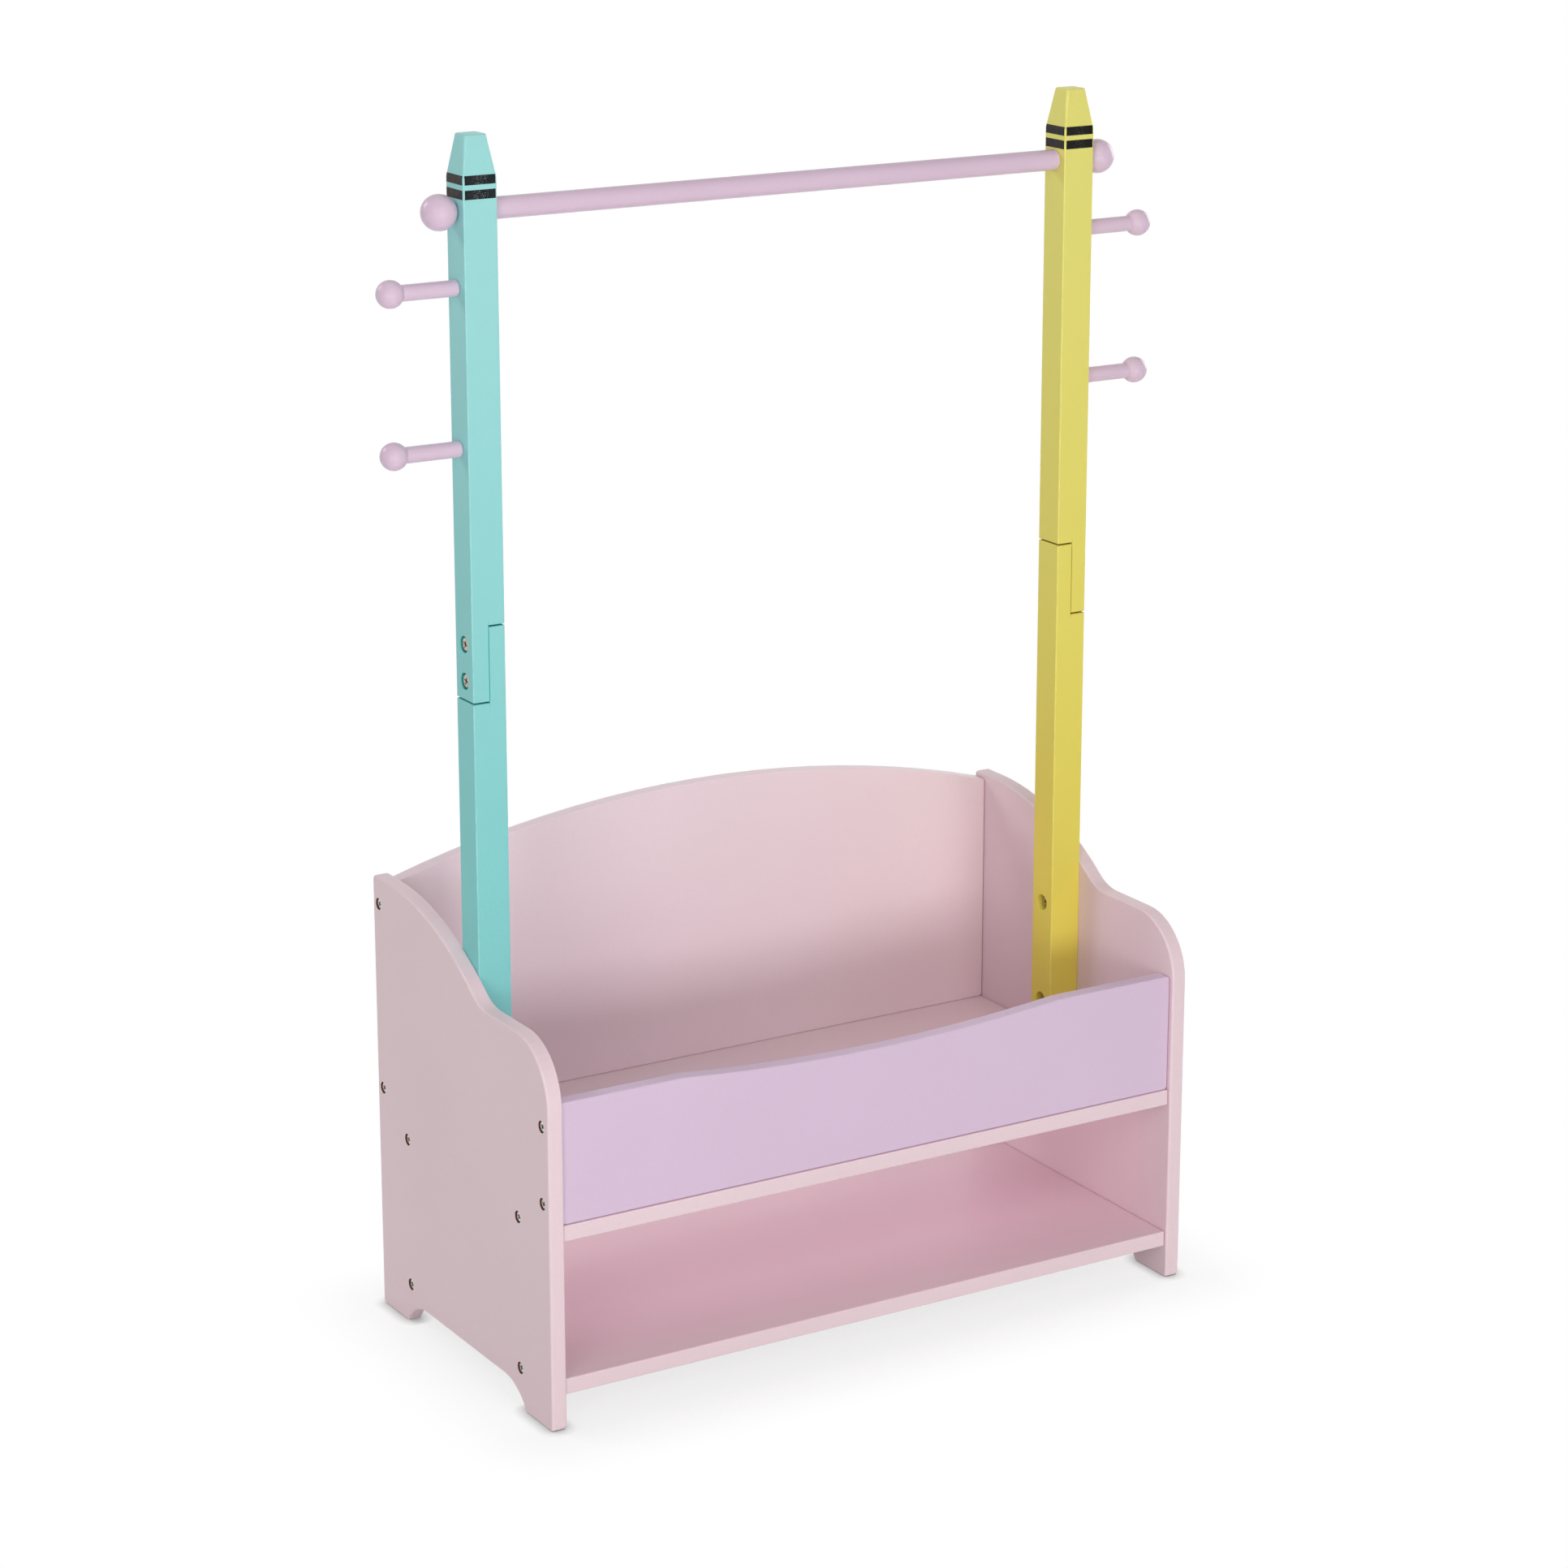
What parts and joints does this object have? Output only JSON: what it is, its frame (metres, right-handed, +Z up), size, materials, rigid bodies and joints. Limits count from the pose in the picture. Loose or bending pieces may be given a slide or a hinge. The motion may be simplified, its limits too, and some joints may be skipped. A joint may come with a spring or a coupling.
{
  "type": "clothing rack",
  "caption": "Child's free-standing clothing rack with crayon-shaped posts, a hanging rail, ball-ended side pegs, an open bin and a lower shelf.",
  "frame": {"origin": "on the floor, midway between the side panels and midway between their front and back edges", "axes": "+X to the right seen from the front (the teal post is at -X, the yellow post at +X), the front faces -Y, +Z up"},
  "size_m": [0.8078, 0.34, 1.13],
  "materials": {
    "pink_paint": "satin paint on fibreboard",
    "lilac_paint": "satin paint",
    "teal_paint": "satin paint",
    "yellow_paint": "satin paint",
    "black_film": "matt print",
    "zinc": "bright zinc plate",
    "beech": "bare"
  },
  "bodies": {
    "root": {"left_side_panel": "pink_paint", "right_side_panel": "pink_paint", "back_panel": "pink_paint", "bin_front_panel": "lilac_paint", "bin_floor": "pink_paint", "bottom_shelf": "pink_paint", "left_post_lower": "teal_paint", "left_post_upper": "teal_paint", "right_post_lower": "yellow_paint", "right_post_upper": "yellow_paint", "left_post_bands": "black_film", "right_post_bands": "black_film", "hanging_rail": "lilac_paint", "left_rail_ball": "lilac_paint", "right_rail_ball": "lilac_paint", "rail_studs": "zinc", "left_upper_peg_rod": "lilac_paint", "left_lower_peg_rod": "lilac_paint", "right_upper_peg_rod": "lilac_paint", "right_lower_peg_rod": "lilac_paint", "left_upper_peg_ball": "lilac_paint", "left_lower_peg_ball": "lilac_paint", "right_upper_peg_ball": "lilac_paint", "right_lower_peg_ball": "lilac_paint", "peg_studs": "zinc", "left_panel_bolts": "zinc", "right_panel_bolts": "zinc", "barrel_nuts": "zinc", "locating_dowels": "beech", "post_bolts": "zinc", "post_inserts": "zinc", "lap_bolts": "zinc", "lap_inserts": "zinc"}
  },
  "joints": []
}
